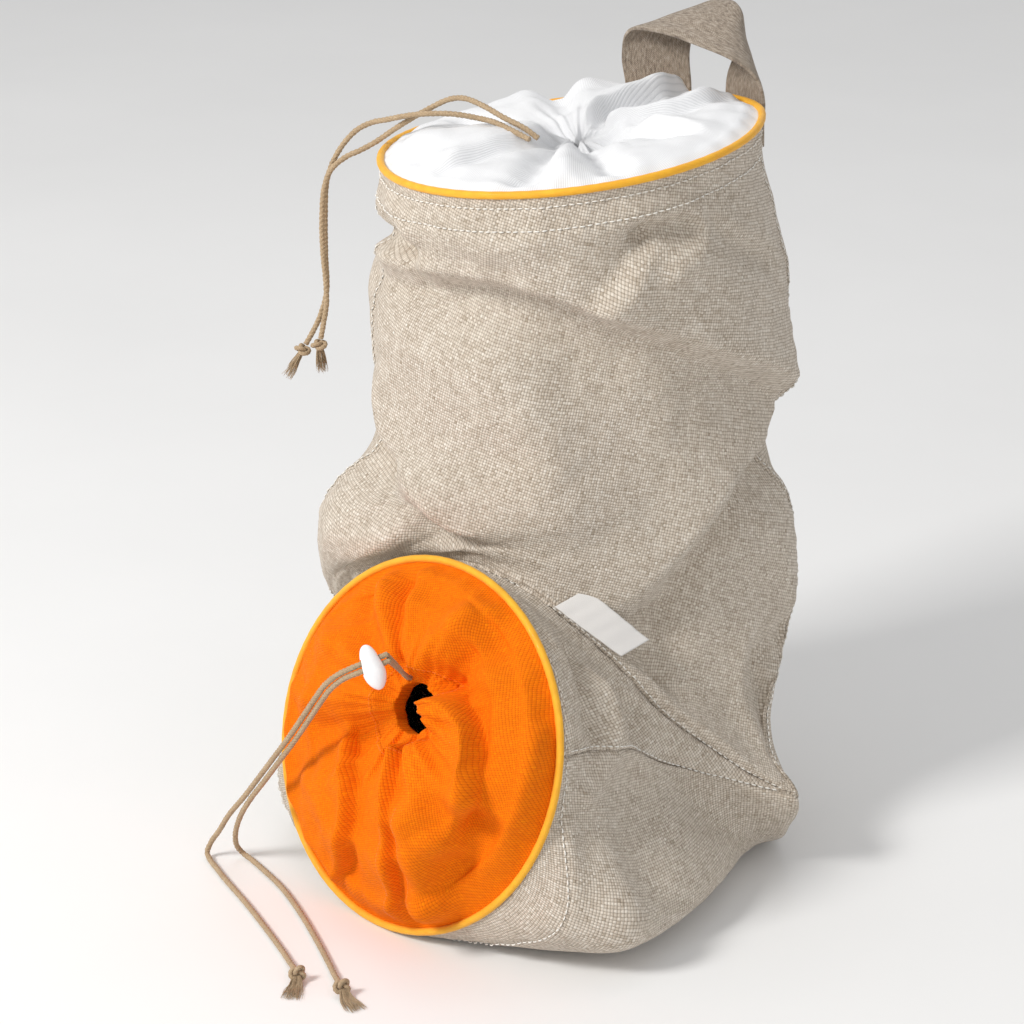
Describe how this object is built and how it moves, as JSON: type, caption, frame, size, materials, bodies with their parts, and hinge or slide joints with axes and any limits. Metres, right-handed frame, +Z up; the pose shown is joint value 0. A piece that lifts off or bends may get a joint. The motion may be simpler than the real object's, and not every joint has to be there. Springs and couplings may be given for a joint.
{
  "type": "potato storage bag",
  "caption": "Standing linen storage sack with a round top gathered by a drawstring, a gathered lower spout, piped rims, a hanging strap and frayed cord ends.",
  "frame": {"origin": "middle of the base, on the surface that the bag stands on, measured without its cords", "axes": "+Z up, the spout faces -Y, +X to the right when the spout is seen from the front"},
  "size_m": [0.2935, 0.3689, 0.4404],
  "materials": {
    "linen": "heathered plain weave",
    "piping": "smooth piping",
    "white_cover": "fine ribbed cloth",
    "orange_cover": "plain weave",
    "webbing": "coarse webbing",
    "label_ribbon": "satin ribbon",
    "twine": "twisted jute",
    "lock_plastic": "gloss"
  },
  "bodies": {
    "root": {"front_panel": "linen", "back_panel": "linen", "base_panel": "linen", "spout_panel": "linen", "top_piping": "piping", "spout_piping": "piping", "top_cover": "white_cover", "spout_cover": "orange_cover", "spout_casing": "orange_cover", "hanging_strap": "webbing", "side_label": "label_ribbon", "top_cord_a": "twine", "top_cord_b": "twine", "spout_cord_a": "twine", "spout_cord_b": "twine", "top_knot_a": "twine", "top_knot_b": "twine", "spout_knot_a": "twine", "spout_knot_b": "twine", "cord_lock": "lock_plastic"}
  },
  "joints": []
}
